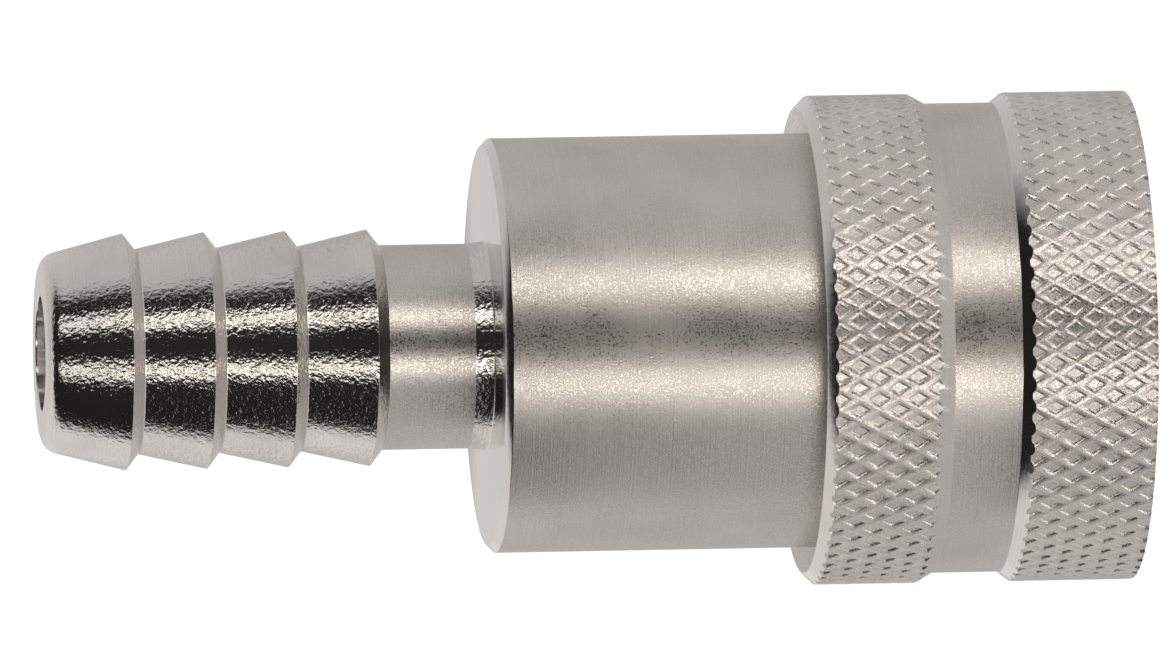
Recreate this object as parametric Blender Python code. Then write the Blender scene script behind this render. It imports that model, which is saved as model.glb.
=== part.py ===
"""A quick-release hose coupling socket in nickel-plated brass.

A barrel with a barbed hose tail carries a screwed-in nose. Eight locking balls sit in the nose's wall,
a spring-loaded sleeve slides over them, and a sprung poppet valve closes the flow when nothing is
plugged in. Every turned piece has its axis on X: the mouth opens towards +X and the hose tail points
towards -X. The origin is on that axis, halfway between the tail's tip and the sleeve's front face.
Places along the axis are worked out as depths behind the sleeve's front face.
"""
import math
import bpy
import bmesh
from mathutils import Matrix, Vector

MM = 0.001

# Hose tail
HOSE_BORE_DIAMETER = 13.0 * MM      # inside of the hose that the tail is made for
BARB_COUNT = 4
BARB_PITCH = 5.0 * MM
BARB_BACK_LENGTH = 0.76 * MM        # axial length of a barb's sloping back
BARB_OVER_HOSE = 0.75 * MM          # barb's edge above the hose's bore, as a radius
NECK_UNDER_HOSE = 0.225 * MM        # neck and valleys below the hose's bore
TIP_UNDER_HOSE = 0.9 * MM           # lead-in tip below the hose's bore
TAIL_BORE_UNDER_HOSE = 2.975 * MM   # flow bore below the hose's bore
TIP_LENGTH = 5.1 * MM               # tip to the first barb's edge
NECK_LENGTH = 7.2 * MM              # last barb's edge to the barrel's rear face
TIP_CHAMFER = 0.35 * MM

# Barrel
BODY_LENGTH = 19.45 * MM            # barrel showing between its rear face and the sleeve
SLEEVE_OVERLAP = 2.05 * MM          # barrel's length under the resting sleeve
EDGE_CHAMFER = 0.15 * MM
BARREL_THREAD_GAP = 0.3 * MM        # between the nose's spigot and the barrel's bore
SHOULDER_STEP = 1.7 * MM            # barrel's inner shoulder that holds the valve guide
FUNNEL_LENGTH = 6.0 * MM            # cone from that shoulder down to the tail's bore

# Nose
SOCKET_BORE_DIAMETER = 16.2 * MM    # bore that receives the plug
NOSE_WALL = 2.2 * MM
MOUTH_RECESS = 0.5 * MM             # nose's front face behind the sleeve's
MOUTH_CHAMFER = 0.8 * MM
NOSE_LIP = 3.5 * MM                 # nose's front face to the stop ring's groove
SPIGOT_STEP = 1.7 * MM              # flange outside above the spigot that screws into the barrel
SPIGOT_LENGTH = 12.4 * MM
SPIGOT_WALL = 1.0 * MM
FACE_GAP = 0.2 * MM                 # between faces that meet
SEAT_STEP = 1.2 * MM                # valve chamber radius above the throat's
THROAT_LENGTH = 0.8 * MM
SEAL_LAND = 1.2 * MM                # nose between the seal's groove and the plug's stop face

# Locking balls
BALL_COUNT = 8
BALL_DIAMETER = 3.5 * MM
BALL_GRIP = 1.15 * MM               # how far a ball stands into the bore
BALL_LIFT = 1.2 * MM                # how far the sleeve lets it out
BALL_HOLE_CLEARANCE = 0.2 * MM      # at the hole's outer end, as a radius
BALL_HOLE_RIM = 0.03 * MM           # the hole's inner end is this much smaller than the ball
BALL_ROOF_GAP = 0.2 * MM            # ball to the sleeve's cone above it

# Sleeve
SLEEVE_TRAVEL = 3.5 * MM
SLEEVE_CLEARANCE = 0.2 * MM         # sleeve's skirt over the barrel, as a radius
LAND_CLEARANCE = 0.1 * MM           # sleeve's inner land over the nose, as a radius
LAND_LENGTH = 1.67 * MM
SKIRT_WALL = 1.5 * MM               # sleeve's wall under its plain groove
BAND_HEIGHT = 0.6 * MM              # knurled bands above the plain groove
REAR_BAND_LENGTH = 6.8 * MM
REAR_CHAMFER_LENGTH = 1.05 * MM     # rear band's slope down into the groove
GROOVE_LENGTH = 4.15 * MM
FRONT_CHAMFER_LENGTH = 0.75 * MM    # front band's slope down into the groove
SKIRT_COUNTERSINK = 0.8 * MM

# Stop ring, a split ring in the nose that the sleeve's shoulder rests behind
RING_THICKNESS = 0.9 * MM
RING_GROOVE_DEPTH = 0.9 * MM
RING_SIDE_GAP = 0.1 * MM
RING_OVERLAP = 0.46 * MM            # ring above the sleeve's shoulder
RING_TO_HOLE = 0.35 * MM            # nose left between the groove and the ball holes
RING_TO_SHOULDER = 0.4 * MM
RING_OUTER_GAP = 0.3 * MM
RING_MOUTH_DEGREES = 24.0

# Thrust washer and sleeve spring
WASHER_THICKNESS = 0.7 * MM
WASHER_GAP = 0.15 * MM
WASHER_SIDE_GAP = 0.25 * MM
SLEEVE_SPRING_WIRE = 0.8 * MM
SLEEVE_SPRING_SIDE_GAP = 0.9 * MM   # spring's wire to the nose and to the sleeve's skirt
SLEEVE_SPRING_TURNS = 4.5
SPRING_COIL_GAP = 0.1 * MM          # between touching coils
SPRING_END_GAP = 0.1 * MM

# Seals
SOCKET_SEAL_SECTION = 1.7 * MM
SOCKET_SEAL_DEPTH = 1.2 * MM        # groove's depth
BACKUP_RING_THICKNESS = 0.7 * MM
SEAL_GAP = 0.15 * MM
HOLE_TO_SEAL = 1.05 * MM            # nose left between the ball holes and the seal's groove
JOINT_SEAL_SECTION = 1.0 * MM
JOINT_SEAL_GAP = 0.2 * MM

# Poppet valve and its guide
POPPET_TRAVEL = 4.5 * MM
POPPET_REACH = 2.4 * MM             # poppet's tip in front of the plug's stop face
POPPET_STEM_STEP = 1.9 * MM         # stem below the throat, as a radius
POPPET_THROAT_GAP = 0.35 * MM
POPPET_CHAMBER_GAP = 0.7 * MM
POPPET_LAND_LENGTH = 0.65 * MM
POPPET_HEAD_LENGTH = 1.45 * MM
POPPET_SEAL_LENGTH = 1.1 * MM
POPPET_SEAL_DEPTH = 1.05 * MM
POPPET_ROD_DIAMETER = 4.0 * MM
POPPET_SPRING_WIRE = 0.7 * MM
POPPET_SPRING_TURNS = 7
GUIDE_THICKNESS = 1.5 * MM
GUIDE_RIM = 1.3 * MM
GUIDE_HUB_WALL = 1.15 * MM
GUIDE_HUB_REACH = 1.05 * MM         # hub standing into the poppet spring
HUB_TO_SPRING = 0.6 * MM            # guide's hub to the poppet spring's wire
GUIDE_ROD_GAP = 0.25 * MM
GUIDE_ARM_WIDTH = 2.2 * MM
GUIDE_ARM_COUNT = 3

# Facets round one turn
OUTER_SEGMENTS = 32
INNER_SEGMENTS = 36
SMALL_SEGMENTS = 28
COIL_SEGMENTS = 16

# Radii, from the socket's bore outwards
bore_r = SOCKET_BORE_DIAMETER / 2
nose_r = bore_r + NOSE_WALL
spigot_r = nose_r - SPIGOT_STEP
chamber_r = spigot_r - SPIGOT_WALL
throat_r = chamber_r - SEAT_STEP
sleeve_spring_r = nose_r + SLEEVE_SPRING_SIDE_GAP + SLEEVE_SPRING_WIRE / 2
skirt_r = sleeve_spring_r + SLEEVE_SPRING_WIRE / 2 + SLEEVE_SPRING_SIDE_GAP
body_r = skirt_r - SLEEVE_CLEARANCE
groove_r = skirt_r + SKIRT_WALL
sleeve_r = groove_r + BAND_HEIGHT
barrel_bore_r = spigot_r + BARREL_THREAD_GAP

ball_r = BALL_DIAMETER / 2
ball_place_r = bore_r - BALL_GRIP + ball_r
cone_slope = BALL_LIFT / SLEEVE_TRAVEL
cone_at_ball_r = ball_place_r + ball_r + BALL_ROOF_GAP
land_r = nose_r + LAND_CLEARANCE

# Radii of the poppet's rod, its guide and its spring
rod_r = POPPET_ROD_DIAMETER / 2
hub_bore_r = rod_r + GUIDE_ROD_GAP
hub_r = hub_bore_r + GUIDE_HUB_WALL
poppet_spring_r = hub_r + HUB_TO_SPRING + POPPET_SPRING_WIRE / 2

# Radii of the hose tail
hose_r = HOSE_BORE_DIAMETER / 2
barb_r = hose_r + BARB_OVER_HOSE
neck_r = hose_r - NECK_UNDER_HOSE
tip_r = hose_r - TIP_UNDER_HOSE
tail_bore_r = hose_r - TAIL_BORE_UNDER_HOSE

# Depths behind the sleeve's front face, from the mouth backwards
nose_front = MOUTH_RECESS
ring_groove_front = nose_front + NOSE_LIP
ring_front = ring_groove_front + RING_SIDE_GAP
ring_back = ring_front + RING_THICKNESS
ring_groove_back = ring_back + RING_SIDE_GAP
ball_hole_r = ball_r + BALL_HOLE_CLEARANCE
ball_depth = ring_groove_back + RING_TO_HOLE + ball_hole_r
shoulder_depth = ring_back + RING_TO_SHOULDER
shoulder_r = cone_at_ball_r + cone_slope * (ball_depth - shoulder_depth)
ring_r = shoulder_r + RING_OVERLAP
recess_r = ring_r + RING_OUTER_GAP
cone_end = ball_depth + (cone_at_ball_r - land_r) / cone_slope
land_end = cone_end + LAND_LENGTH
washer_front = land_end + WASHER_GAP
washer_back = washer_front + WASHER_THICKNESS
sleeve_spring_front = washer_back + SPRING_END_GAP
sleeve_spring_solid = SLEEVE_SPRING_TURNS * (SLEEVE_SPRING_WIRE + SPRING_COIL_GAP)
barrel_front = washer_back + sleeve_spring_solid + SLEEVE_TRAVEL
sleeve_spring_back = barrel_front - SPRING_END_GAP
sleeve_length = barrel_front + SLEEVE_OVERLAP
flange_back = barrel_front - FACE_GAP

seal_groove_front = ball_depth + ball_hole_r + HOLE_TO_SEAL
socket_seal_depth = seal_groove_front + SEAL_GAP + SOCKET_SEAL_SECTION / 2
backup_front = socket_seal_depth + SOCKET_SEAL_SECTION / 2 + SEAL_GAP
backup_back = backup_front + BACKUP_RING_THICKNESS
seal_groove_back = backup_back + SEAL_GAP
plug_stop = seal_groove_back + SEAL_LAND
seat_front = plug_stop + THROAT_LENGTH
seat_back = seat_front + SEAT_STEP

spigot_back = flange_back + SPIGOT_LENGTH
guide_front = spigot_back + FACE_GAP
guide_back = guide_front + GUIDE_THICKNESS
guide_shoulder = guide_back + FACE_GAP
funnel_back = guide_shoulder + FUNNEL_LENGTH
body_back = sleeve_length + BODY_LENGTH
tail_length = TIP_LENGTH + (BARB_COUNT - 1) * BARB_PITCH + NECK_LENGTH
overall_length = body_back + tail_length


def at(depth):
    """X of a place that lies depth behind the sleeve's front face."""
    return overall_length / 2 - depth


def material(name, colour, metallic, roughness):
    """One Principled BSDF material."""
    made = bpy.data.materials.new(name)
    made.use_nodes = True
    shader = made.node_tree.nodes["Principled BSDF"]
    shader.inputs["Base Color"].default_value = (*colour, 1.0)
    shader.inputs["Metallic"].default_value = metallic
    shader.inputs["Roughness"].default_value = roughness
    return made


def face_outwards(bm):
    """Turns a closed shape's faces outwards."""
    bmesh.ops.recalc_face_normals(bm, faces=bm.faces)
    if bm.calc_volume(signed=True) < 0.0:
        bmesh.ops.reverse_faces(bm, faces=bm.faces)


def add_object(name, bm, finish):
    """Turns a bmesh into a smooth-shaded object with outward faces and its own material."""
    face_outwards(bm)
    mesh = bpy.data.meshes.new(name)
    bm.to_mesh(mesh)
    bm.free()
    mesh.shade_smooth()
    mesh.set_sharp_from_angle(angle=math.radians(30))
    made = bpy.data.objects.new(name, mesh)
    bpy.context.collection.objects.link(made)
    colour, metallic, roughness = finish
    mesh.materials.append(material(name, colour, metallic, roughness))
    return made


def turned(outline, segments, sweep=360.0):
    """Turns an outline of (depth, radius) points about the X axis.

    A full turn closes on itself. A shorter one is capped at both ends. Points with radius 0 become
    one vertex on the axis. The first facet is centred on -Z, so a flat lies underneath.
    """
    bm = bmesh.new()
    full = sweep >= 360.0
    stations = segments if full else segments + 1
    start = math.radians(-90.0 + (360.0 - sweep) / 2) + (math.pi / segments if full else 0.0)
    rings = []
    for depth, radius in outline:
        if radius == 0.0:
            rings.append([bm.verts.new((at(depth), 0.0, 0.0))] * stations)
            continue
        ring = []
        for i in range(stations):
            angle = start + math.radians(sweep) * i / segments
            ring.append(bm.verts.new((at(depth), radius * math.cos(angle), radius * math.sin(angle))))
        rings.append(ring)
    for j, ring in enumerate(rings):
        after = rings[(j + 1) % len(rings)]
        if outline[j][1] == 0.0 and outline[(j + 1) % len(rings)][1] == 0.0:
            continue
        for i in range(segments):
            k = (i + 1) % stations
            corners = []
            for corner in (ring[i], ring[k], after[k], after[i]):
                if corner not in corners:
                    corners.append(corner)
            bm.faces.new(corners)
    if not full:
        bm.faces.new([ring[0] for ring in rings])
        bm.faces.new([ring[-1] for ring in rings])
    return bm


def round_section(depth, radius, section_r, sides):
    """Outline of an O-ring: a circle of section_r about (depth, radius)."""
    points = []
    for i in range(sides):
        angle = math.tau * (i + 0.5) / sides
        points.append((depth + section_r * math.cos(angle), radius + section_r * math.sin(angle)))
    return points


def coil(front, back, mean_r, wire, turns, sides=6):
    """A compression spring between two depths, with three quarters of a turn closed at each end."""
    closed = 0.75
    closed_pitch = wire + SPRING_COIL_GAP
    active_pitch = (back - front - wire - 2 * closed * closed_pitch) / (turns - 2 * closed)
    count = round(turns * COIL_SEGMENTS)
    bm = bmesh.new()
    rings = []
    for i in range(count + 1):
        turn = turns * i / count
        before = min(turn, closed)
        active = min(max(turn - closed, 0.0), turns - 2 * closed)
        after = max(turn - (turns - closed), 0.0)
        depth = front + wire / 2 + (before + after) * closed_pitch + active * active_pitch
        angle = math.tau * turn
        outward = Vector((0.0, math.cos(angle), math.sin(angle)))
        along = Vector((-active_pitch / math.tau, -mean_r * math.sin(angle), mean_r * math.cos(angle)))
        across = along.normalized().cross(outward)
        centre = Vector((at(depth), 0.0, 0.0)) + outward * mean_r
        ring = []
        for side in range(sides):
            turned_by = math.tau * side / sides
            offset = outward * math.cos(turned_by) + across * math.sin(turned_by)
            ring.append(bm.verts.new(centre + offset * wire / 2))
        rings.append(ring)
    for ring, after in zip(rings, rings[1:]):
        for side in range(sides):
            k = (side + 1) % sides
            bm.faces.new((ring[side], ring[k], after[k], after[side]))
    bm.faces.new(rings[0])
    bm.faces.new(rings[-1])
    return bm


def cut(target, bm, name):
    """Cuts a closed shape out of an object with a hidden wireframe cutter."""
    face_outwards(bm)
    mesh = bpy.data.meshes.new(name)
    bm.to_mesh(mesh)
    bm.free()
    cutter = bpy.data.objects.new(name, mesh)
    bpy.context.collection.objects.link(cutter)
    cutter.hide_render = True
    cutter.display_type = 'WIRE'
    modifier = target.modifiers.new(name, 'BOOLEAN')
    modifier.operation = 'DIFFERENCE'
    modifier.solver = 'EXACT'
    modifier.object = cutter


def ball_angles():
    """Angle of each locking ball about the axis. None lies at the very top or the side."""
    return [math.tau * (i + 0.5) / BALL_COUNT for i in range(BALL_COUNT)]


NICKEL = ((0.66, 0.63, 0.60), 1.0, 0.22)
PLAIN_BRASS = ((0.72, 0.55, 0.30), 1.0, 0.32)
SPRING_STEEL = ((0.50, 0.50, 0.50), 1.0, 0.30)
BALL_STEEL = ((0.70, 0.70, 0.71), 1.0, 0.08)
NITRILE = ((0.018, 0.018, 0.020), 0.0, 0.55)
PTFE = ((0.82, 0.81, 0.78), 0.0, 0.45)


def hose_tail_outline():
    """Outside of the hose tail, from its tip's bore to the neck's root: barbs that lean backwards."""
    tip = overall_length
    points = [(tip, tail_bore_r), (tip, tip_r - TIP_CHAMFER), (tip - TIP_CHAMFER, tip_r)]
    for i in range(BARB_COUNT):
        edge = tip - TIP_LENGTH - i * BARB_PITCH
        points.append((edge, barb_r))
        points.append((edge - BARB_BACK_LENGTH, neck_r))
    points.append((body_back, neck_r))
    return points


def make_barrel():
    """Barrel and hose tail, turned from one bar: a bore for the nose, a shoulder and a funnel."""
    seal_pocket_r = spigot_r + JOINT_SEAL_SECTION + 2 * JOINT_SEAL_GAP
    seal_pocket_back = barrel_front + JOINT_SEAL_SECTION + 2 * JOINT_SEAL_GAP
    outline = hose_tail_outline() + [
        (body_back, body_r - EDGE_CHAMFER),
        (body_back - EDGE_CHAMFER, body_r),
        (barrel_front + EDGE_CHAMFER, body_r),
        (barrel_front, body_r - EDGE_CHAMFER),
        (barrel_front, seal_pocket_r),
        (seal_pocket_back, seal_pocket_r),
        (seal_pocket_back, barrel_bore_r),
        (guide_shoulder, barrel_bore_r),
        (guide_shoulder, barrel_bore_r - SHOULDER_STEP),
        (funnel_back, tail_bore_r),
    ]
    return add_object("barrel", turned(outline, OUTER_SEGMENTS), NICKEL)


def make_joint_o_ring():
    """O-ring in the barrel's front pocket, squeezed by the nose's flange."""
    depth = barrel_front + JOINT_SEAL_GAP + JOINT_SEAL_SECTION / 2
    radius = spigot_r + JOINT_SEAL_GAP + JOINT_SEAL_SECTION / 2
    outline = round_section(depth, radius, JOINT_SEAL_SECTION / 2, 6)
    return add_object("joint_o_ring", turned(outline, SMALL_SEGMENTS), NITRILE)


def make_socket_nose():
    """Nose that the plug enters: ring groove, ball holes, seal groove, throat and valve seat."""
    ring_floor_r = nose_r - RING_GROOVE_DEPTH
    seal_floor_r = bore_r + SOCKET_SEAL_DEPTH
    outline = [
        (nose_front, bore_r + MOUTH_CHAMFER),
        (nose_front, nose_r - EDGE_CHAMFER),
        (nose_front + EDGE_CHAMFER, nose_r),
        (ring_groove_front, nose_r),
        (ring_groove_front, ring_floor_r),
        (ring_groove_back, ring_floor_r),
        (ring_groove_back, nose_r),
        (flange_back, nose_r),
        (flange_back, spigot_r),
        (spigot_back, spigot_r),
        (spigot_back, chamber_r),
        (seat_back, chamber_r),
        (seat_front, throat_r),
        (plug_stop, throat_r),
        (plug_stop, bore_r),
        (seal_groove_back, bore_r),
        (seal_groove_back, seal_floor_r),
        (seal_groove_front, seal_floor_r),
        (seal_groove_front, bore_r),
        (nose_front + MOUTH_CHAMFER, bore_r),
    ]
    nose = add_object("socket_nose", turned(outline, INNER_SEGMENTS), NICKEL)
    cut(nose, ball_hole_cones(), "ball_hole_cutter")
    return nose


def ball_hole_cones():
    """Eight tapered holes in one cutter: each is a little smaller than its ball at the bore."""
    sides = 16
    reach = 0.5 * MM
    taper = (ball_hole_r - ball_r + BALL_HOLE_RIM) / NOSE_WALL
    low_r = ball_r - BALL_HOLE_RIM - taper * reach
    high_r = ball_hole_r + taper * reach
    bm = bmesh.new()
    for angle in ball_angles():
        outward = Vector((0.0, math.cos(angle), math.sin(angle)))
        around = Vector((0.0, -math.sin(angle), math.cos(angle)))
        rings = []
        for height, radius in ((bore_r - reach, low_r), (nose_r + reach, high_r)):
            centre = Vector((at(ball_depth), 0.0, 0.0)) + outward * height
            ring = []
            for side in range(sides):
                turned_by = math.tau * side / sides
                offset = Vector((math.cos(turned_by), 0.0, 0.0)) + around * math.sin(turned_by)
                ring.append(bm.verts.new(centre + offset * radius / math.cos(math.pi / sides)))
            rings.append(ring)
        for side in range(sides):
            k = (side + 1) % sides
            bm.faces.new((rings[0][side], rings[0][k], rings[1][k], rings[1][side]))
        bm.faces.new(rings[0])
        bm.faces.new(rings[1])
    return bm


def make_locking_balls():
    """Hardened balls in the nose's holes, each with its origin at its own centre."""
    for number, angle in enumerate(ball_angles(), start=1):
        bm = bmesh.new()
        bmesh.ops.create_uvsphere(bm, u_segments=12, v_segments=8, radius=ball_r)
        bm.transform(Matrix.Rotation(angle - math.pi / 2, 4, 'X'))
        ball = add_object(f"locking_ball_{number}", bm, BALL_STEEL)
        outward = Vector((0.0, math.cos(angle), math.sin(angle)))
        ball.location = Vector((at(ball_depth), 0.0, 0.0)) + outward * ball_place_r


def make_socket_seal():
    """O-ring in the nose's bore that seals on the plug."""
    section_r = SOCKET_SEAL_SECTION / 2
    radius = bore_r + SOCKET_SEAL_DEPTH - SEAL_GAP - section_r
    outline = round_section(socket_seal_depth, radius, section_r, 8)
    return add_object("socket_seal", turned(outline, INNER_SEGMENTS), NITRILE)


def make_seal_backup_ring():
    """Plastic ring behind the socket seal, flush with the bore."""
    inner_r = bore_r + SEAL_GAP
    outer_r = bore_r + SOCKET_SEAL_DEPTH - SEAL_GAP
    outline = [(backup_front, inner_r), (backup_front, outer_r), (backup_back, outer_r), (backup_back, inner_r)]
    return add_object("seal_backup_ring", turned(outline, INNER_SEGMENTS), PTFE)


def make_sleeve_stop_ring():
    """Split ring snapped into the nose's groove, with its mouth at the bottom."""
    inner_r = nose_r - RING_GROOVE_DEPTH + RING_SIDE_GAP
    outline = [(ring_front, inner_r), (ring_front, ring_r), (ring_back, ring_r), (ring_back, inner_r)]
    bm = turned(outline, INNER_SEGMENTS, sweep=360.0 - RING_MOUTH_DEGREES)
    return add_object("sleeve_stop_ring", bm, SPRING_STEEL)


def make_sleeve():
    """Pull-back sleeve: two raised bands outside; shoulder, cone, land and spring skirt inside."""
    groove_back = sleeve_length - REAR_BAND_LENGTH - REAR_CHAMFER_LENGTH
    groove_front = groove_back - GROOVE_LENGTH
    outline = [
        (0.0, recess_r),
        (0.0, sleeve_r - EDGE_CHAMFER),
        (EDGE_CHAMFER, sleeve_r),
        (groove_front - FRONT_CHAMFER_LENGTH, sleeve_r),
        (groove_front, groove_r),
        (groove_back, groove_r),
        (groove_back + REAR_CHAMFER_LENGTH, sleeve_r),
        (sleeve_length, sleeve_r),
        (sleeve_length, skirt_r + SKIRT_COUNTERSINK),
        (sleeve_length - SKIRT_COUNTERSINK, skirt_r),
        (land_end, skirt_r),
        (land_end, land_r),
        (cone_end, land_r),
        (shoulder_depth, shoulder_r),
        (shoulder_depth, recess_r),
    ]
    return add_object("sleeve", turned(outline, OUTER_SEGMENTS), NICKEL)


def make_thrust_washer():
    """Flat washer between the sleeve's land and the sleeve spring."""
    inner_r = nose_r + WASHER_SIDE_GAP
    outer_r = skirt_r - WASHER_SIDE_GAP
    outline = [(washer_front, inner_r), (washer_front, outer_r), (washer_back, outer_r), (washer_back, inner_r)]
    return add_object("thrust_washer", turned(outline, INNER_SEGMENTS), SPRING_STEEL)


def make_sleeve_spring():
    """Spring that pushes the sleeve forwards, between the washer and the barrel's front face."""
    bm = coil(sleeve_spring_front, sleeve_spring_back, sleeve_spring_r, SLEEVE_SPRING_WIRE,
              SLEEVE_SPRING_TURNS)
    return add_object("sleeve_spring", bm, SPRING_STEEL)


def poppet_sizes():
    """Radii and depths that the poppet and its seal share."""
    head_r = chamber_r - POPPET_CHAMBER_GAP
    plug_r = throat_r - POPPET_THROAT_GAP
    groove_front = plug_stop + SEAL_GAP / 2 + POPPET_LAND_LENGTH
    groove_back = groove_front + POPPET_SEAL_LENGTH + 2 * SEAL_GAP
    return head_r, plug_r, groove_front, groove_back


def make_poppet():
    """Poppet: a stem that the plug pushes, a seal groove, a head and a rod for the guide."""
    head_r, plug_r, groove_front, groove_back = poppet_sizes()
    stem_r = throat_r - POPPET_STEM_STEP
    locator_r = poppet_spring_r - POPPET_SPRING_WIRE / 2 - FACE_GAP
    tip = plug_stop - POPPET_REACH
    tip_edge = 0.6 * MM
    land_front = groove_front - POPPET_LAND_LENGTH
    head_back = groove_back + POPPET_HEAD_LENGTH
    rod_back = guide_back + FACE_GAP
    outline = [
        (tip, 0.0),
        (tip, stem_r - tip_edge),
        (tip + tip_edge, stem_r),
        (land_front - (plug_r - stem_r) / 2, stem_r),
        (land_front, plug_r),
        (groove_front, plug_r),
        (groove_front, plug_r - POPPET_SEAL_DEPTH),
        (groove_back, plug_r - POPPET_SEAL_DEPTH),
        (groove_back, head_r),
        (head_back, head_r),
        (head_back, locator_r),
        (head_back + GUIDE_HUB_REACH, locator_r),
        (head_back + GUIDE_HUB_REACH, rod_r),
        (rod_back - EDGE_CHAMFER, rod_r),
        (rod_back, rod_r - EDGE_CHAMFER),
        (rod_back, 0.0),
    ]
    return add_object("poppet", turned(outline, SMALL_SEGMENTS), PLAIN_BRASS)


def make_poppet_seal():
    """Ring in the poppet's groove whose sloping face closes on the nose's 45 degree seat."""
    head_r, plug_r, groove_front, groove_back = poppet_sizes()
    inner_r = plug_r - POPPET_SEAL_DEPTH + SEAL_GAP
    front = groove_front + SEAL_GAP
    back = groove_back - SEAL_GAP
    seat_gap = POPPET_THROAT_GAP + SEAL_GAP / 2
    front_r = throat_r + (front - seat_front) - seat_gap
    full_depth = seat_front + (head_r - throat_r) + seat_gap
    outline = [(front, inner_r), (front, front_r), (full_depth, head_r), (back, head_r), (back, inner_r)]
    return add_object("poppet_seal", turned(outline, SMALL_SEGMENTS), NITRILE)


def make_poppet_spring():
    """Spring that closes the poppet, between its head and the guide."""
    groove_back = poppet_sizes()[3]
    front = groove_back + POPPET_HEAD_LENGTH + SPRING_END_GAP
    bm = coil(front, guide_front - SPRING_END_GAP, poppet_spring_r, POPPET_SPRING_WIRE, POPPET_SPRING_TURNS)
    return add_object("poppet_spring", bm, SPRING_STEEL)


def make_valve_guide():
    """Three-armed guide clamped between the nose's spigot and the barrel's shoulder."""
    outline = [
        (guide_front, hub_r),
        (guide_front, spigot_r),
        (guide_back, spigot_r),
        (guide_back, hub_bore_r),
        (guide_front - GUIDE_HUB_REACH, hub_bore_r),
        (guide_front - GUIDE_HUB_REACH, hub_r),
    ]
    guide = add_object("valve_guide", turned(outline, INNER_SEGMENTS), PLAIN_BRASS)
    cut(guide, guide_windows(hub_r, spigot_r - GUIDE_RIM), "guide_window_cutter")
    return guide


def guide_windows(inner_r, outer_r):
    """Flow windows between the guide's arms: one block each, curved inside and outside."""
    steps = 8
    bm = bmesh.new()
    for window in range(GUIDE_ARM_COUNT):
        middle = math.pi / 2 + math.tau * window / GUIDE_ARM_COUNT
        loops = []
        for depth in (guide_front - FACE_GAP, guide_back + FACE_GAP):
            loop = []
            for radius, order in ((inner_r, 1), (outer_r, -1)):
                half = math.pi / GUIDE_ARM_COUNT - math.asin(GUIDE_ARM_WIDTH / 2 / radius)
                for i in range(steps + 1):
                    angle = middle + order * half * (2 * i / steps - 1)
                    loop.append(bm.verts.new((at(depth), radius * math.cos(angle), radius * math.sin(angle))))
            loops.append(loop)
        count = len(loops[0])
        for i in range(count):
            k = (i + 1) % count
            bm.faces.new((loops[0][i], loops[0][k], loops[1][k], loops[1][i]))
        bm.faces.new(loops[0])
        bm.faces.new(loops[1])
    return bm


def clear_scene():
    """Removes what the scene holds before the model is made."""
    for old in list(bpy.data.objects):
        bpy.data.objects.remove(old, do_unlink=True)


def main():
    """Makes every piece of the coupling socket."""
    clear_scene()
    make_barrel()
    make_joint_o_ring()
    make_socket_nose()
    make_locking_balls()
    make_socket_seal()
    make_seal_backup_ring()
    make_sleeve_stop_ring()
    make_sleeve()
    make_thrust_washer()
    make_sleeve_spring()
    make_poppet()
    make_poppet_seal()
    make_poppet_spring()
    make_valve_guide()


main()
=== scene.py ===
"""Looks of a quick-release hose coupling socket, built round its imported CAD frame."""
import math

import bmesh
import bpy
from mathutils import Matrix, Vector


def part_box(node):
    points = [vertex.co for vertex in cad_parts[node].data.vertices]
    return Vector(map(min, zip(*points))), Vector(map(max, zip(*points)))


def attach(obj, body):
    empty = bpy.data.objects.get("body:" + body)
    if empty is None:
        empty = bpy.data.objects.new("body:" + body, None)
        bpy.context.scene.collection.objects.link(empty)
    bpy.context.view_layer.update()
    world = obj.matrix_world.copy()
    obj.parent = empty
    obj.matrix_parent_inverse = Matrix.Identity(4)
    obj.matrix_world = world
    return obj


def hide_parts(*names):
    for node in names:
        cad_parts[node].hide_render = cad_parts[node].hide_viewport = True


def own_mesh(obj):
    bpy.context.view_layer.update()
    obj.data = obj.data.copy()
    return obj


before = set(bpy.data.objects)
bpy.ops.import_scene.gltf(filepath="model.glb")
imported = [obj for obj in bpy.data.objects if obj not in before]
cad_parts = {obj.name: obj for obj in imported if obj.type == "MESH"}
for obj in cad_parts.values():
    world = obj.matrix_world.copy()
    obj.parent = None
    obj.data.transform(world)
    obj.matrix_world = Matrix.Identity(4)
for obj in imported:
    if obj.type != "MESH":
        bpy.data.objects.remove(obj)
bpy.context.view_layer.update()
mm = 0.001

# Barrel and hose tail: one piece turned from brass bar and nickel plated. The barbs are polished,
# the neck and the barrel keep their fine turning lines under a frosted satin. It is turned about
# the X axis: the tail's tip is the CAD box's low end, and the mouth is its high end.
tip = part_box("barrel")[0].x
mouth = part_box("sleeve")[1].x
barrel_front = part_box("barrel")[1].x


def add_node(tree, kind, inputs=None, **settings):
    """Adds a node to a tree. inputs are values, or sockets to link from, by name or number."""
    made = tree.nodes.new(kind)
    for name, value in settings.items():
        setattr(made, name, value)
    for key, value in (inputs or {}).items():
        if isinstance(value, bpy.types.NodeSocket):
            tree.links.new(value, made.inputs[key])
        else:
            made.inputs[key].default_value = value
    return made


def calc(tree, operation, *values):
    """A Math node's output."""
    return add_node(tree, "ShaderNodeMath", dict(enumerate(values)), operation=operation).outputs[0]


def span(tree, value, low, high, to_low=0.0, to_high=1.0):
    """A value taken from one range to another, and held inside it."""
    inputs = {"Value": value, "From Min": low, "From Max": high, "To Min": to_low, "To Max": to_high}
    return add_node(tree, "ShaderNodeMapRange", inputs).outputs["Result"]


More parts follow.
